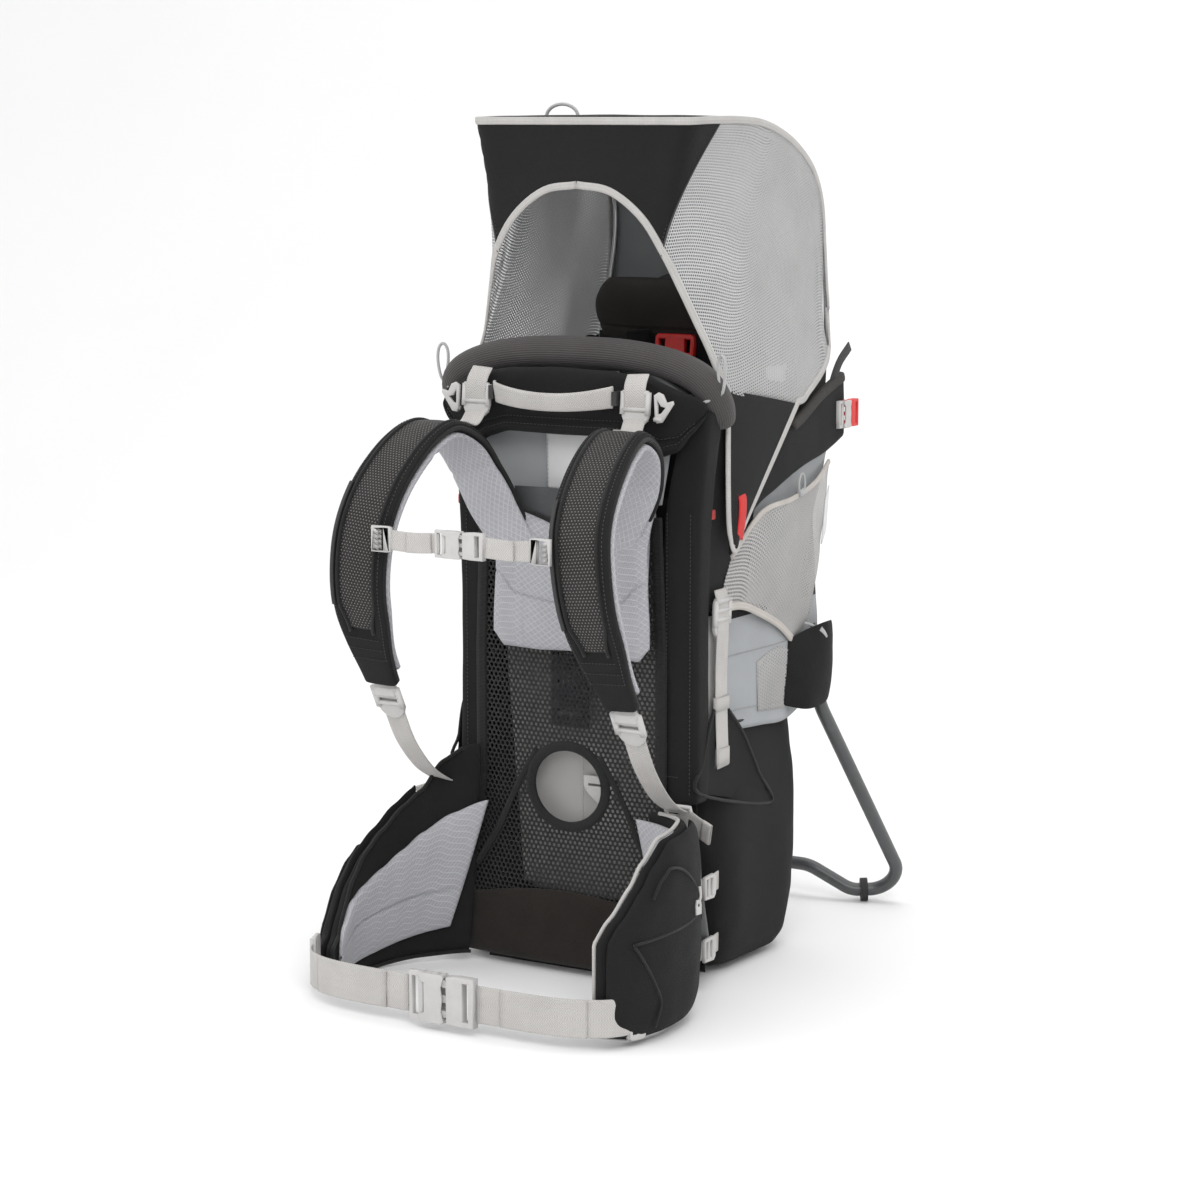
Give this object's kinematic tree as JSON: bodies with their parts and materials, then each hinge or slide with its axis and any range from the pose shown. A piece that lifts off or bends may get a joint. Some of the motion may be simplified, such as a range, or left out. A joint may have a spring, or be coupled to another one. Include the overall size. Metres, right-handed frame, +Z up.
{
  "type": "child carrier backpack",
  "caption": "Framed backpack for carrying a small child: tube frame with a fold-out stand, padded cockpit, mesh-sided sunshade, and a shoulder harness with hip belt.",
  "frame": {"origin": "on the floor under the frame's bottom tube, in the middle of its width, 10 mm in front of the tube's centre line", "axes": "+X to the right seen from the wearer's side, +Y to the rear away from the wearer, +Z up"},
  "size_m": [0.43, 0.6872, 0.885],
  "materials": {
    "frame_metal": "satin powder coat",
    "stand_metal": "satin powder coat",
    "pin_steel": "brushed",
    "black_rubber": "matte",
    "dark_foam": "matte foam",
    "black_plastic": "matte",
    "pale_plastic": "satin",
    "red_plastic": "satin",
    "black_fabric": "woven",
    "back_mesh": "open mesh",
    "lumbar_fabric": "fine knit",
    "pale_liner": "ripstop weave",
    "grey_mesh": "perforated mesh",
    "pale_webbing": "herringbone webbing",
    "black_webbing": "webbing",
    "red_webbing": "webbing"
  },
  "bodies": {
    "pack": {"frame_tube": "frame_metal", "base_skid": "black_rubber", "front_pad": "dark_foam", "seat_hoop": "frame_metal", "side_brackets": "black_plastic", "stand_housings": "black_plastic", "stand_pins": "pin_steel", "back_panel": "back_mesh", "lumbar_pad": "lumbar_fabric", "hip_wings": "black_fabric", "hip_liners": "pale_liner", "hip_pockets": "black_fabric", "belt_webs": "pale_webbing", "belt_socket": "pale_plastic", "belt_adjusters": "pale_plastic", "top_panel": "black_fabric", "frame_ladderlocks": "pale_plastic", "load_lifters": "pale_webbing", "handle_anchors": "black_fabric", "stow_hooks": "pale_plastic", "side_walls": "black_fabric", "side_wings": "black_fabric", "side_pockets": "grey_mesh", "pull_tabs": "red_webbing", "wrap_sockets": "pale_plastic", "back_cushion": "black_fabric", "lower_bag": "black_fabric", "rear_pocket": "black_fabric", "shade_rear": "grey_mesh", "shade_pivots": "black_plastic", "torso_track": "black_plastic", "strap_webs": "pale_webbing", "web_anchors": "pale_plastic"},
    "stand": {"stand_tube": "stand_metal", "stand_feet": "black_rubber"},
    "sunshade": {"shade_hoop": "pin_steel", "shade_canopy": "grey_mesh", "corner_loops": "pale_webbing"},
    "shoulder_harness": {"yoke_pad": "pale_liner", "yoke_plate": "black_plastic", "shoulder_straps": "black_fabric", "strap_liners": "pale_liner", "strap_ladderlocks": "pale_plastic", "sternum_rails": "dark_foam"},
    "sternum_strap": {"sternum_clips": "pale_plastic", "sternum_webs": "pale_webbing", "sternum_socket": "pale_plastic"},
    "sternum_plug": {"sternum_plug": "pale_plastic"},
    "belt_plug": {"belt_plug": "pale_plastic"},
    "handle": {"grab_handle": "pale_webbing"},
    "seat": {"child_seat": "black_fabric"},
    "child_straps": {"child_harness": "black_webbing", "chest_buckle": "red_plastic"},
    "stirrup_left": {"stirrup_left": "black_webbing"},
    "stirrup_right": {"stirrup_right": "black_webbing"},
    "wrap_plug_left": {"wrap_plug_left": "red_plastic"},
    "wrap_plug_right": {"wrap_plug_right": "red_plastic"},
    "pocket_pull_left": {"pocket_pull_left": "pale_plastic"},
    "pocket_pull_right": {"pocket_pull_right": "pale_plastic"},
    "bag_zip_pull": {"bag_zip_pull": "pale_plastic"}
  },
  "joints": [
    {"name": "stand_fold", "type": "hinge", "parent": "pack", "child": "stand", "pos_m": [0, 0.25, 0.325], "axis": [-1, 0, 0], "range_deg": [0, 30]},
    {"name": "sunshade_tip", "type": "hinge", "parent": "pack", "child": "sunshade", "pos_m": [0, 0.283, 0.64], "axis": [-1, 0, 0], "range_deg": [0, 75], "deforming": ["shade_rear"]},
    {"name": "torso_length", "type": "slide", "parent": "pack", "child": "shoulder_harness", "axis": [0, 0, 1], "range_m": [-0.09, 0.02], "deforming": ["load_lifters", "strap_webs"]},
    {"name": "sternum_height", "type": "slide", "parent": "shoulder_harness", "child": "sternum_strap", "axis": [0, 0, 1], "range_m": [-0.02, 0.02]},
    {"name": "sternum_release", "type": "slide", "parent": "sternum_strap", "child": "sternum_plug", "axis": [1, 0, 0], "range_m": [0, 0.022], "deforming": ["sternum_webs"]},
    {"name": "belt_release", "type": "slide", "parent": "pack", "child": "belt_plug", "axis": [1, 0, 0], "range_m": [0, 0.03], "deforming": ["belt_webs"]},
    {"name": "handle_lift", "type": "hinge", "parent": "pack", "child": "handle", "pos_m": [0, -0.046, 0.61], "axis": [-1, 0, 0], "range_deg": [-15, 75]},
    {"name": "seat_height", "type": "slide", "parent": "pack", "child": "seat", "axis": [0, 0, 1], "range_m": [-0.02, 0.06]},
    {"name": "child_strap_height", "type": "slide", "parent": "pack", "child": "child_straps", "axis": [0, 0, 1], "range_m": [-0.05, 0.03]},
    {"name": "stirrup_left_height", "type": "slide", "parent": "pack", "child": "stirrup_left", "axis": [0, 0, 1], "range_m": [-0.02, 0.06]},
    {"name": "stirrup_right_height", "type": "slide", "parent": "pack", "child": "stirrup_right", "axis": [0, 0, 1], "range_m": [-0.02, 0.06]},
    {"name": "wrap_release_left", "type": "slide", "parent": "pack", "child": "wrap_plug_left", "axis": [0, 1, 0], "range_m": [0, 0.018]},
    {"name": "wrap_release_right", "type": "slide", "parent": "pack", "child": "wrap_plug_right", "axis": [0, 1, 0], "range_m": [0, 0.018]},
    {"name": "pocket_zip_left", "type": "hinge", "parent": "pack", "child": "pocket_pull_left", "pos_m": [-0.06, -0.15, 0.118], "axis": [0, 0, 1], "range_deg": [-25, 15]},
    {"name": "pocket_zip_right", "type": "hinge", "parent": "pack", "child": "pocket_pull_right", "pos_m": [0.06, -0.15, 0.118], "axis": [0, 0, 1], "range_deg": [-15, 25]},
    {"name": "bag_zip", "type": "slide", "parent": "pack", "child": "bag_zip_pull", "axis": [1, 0, 0], "range_m": [-0.09, 0.09]}
  ]
}
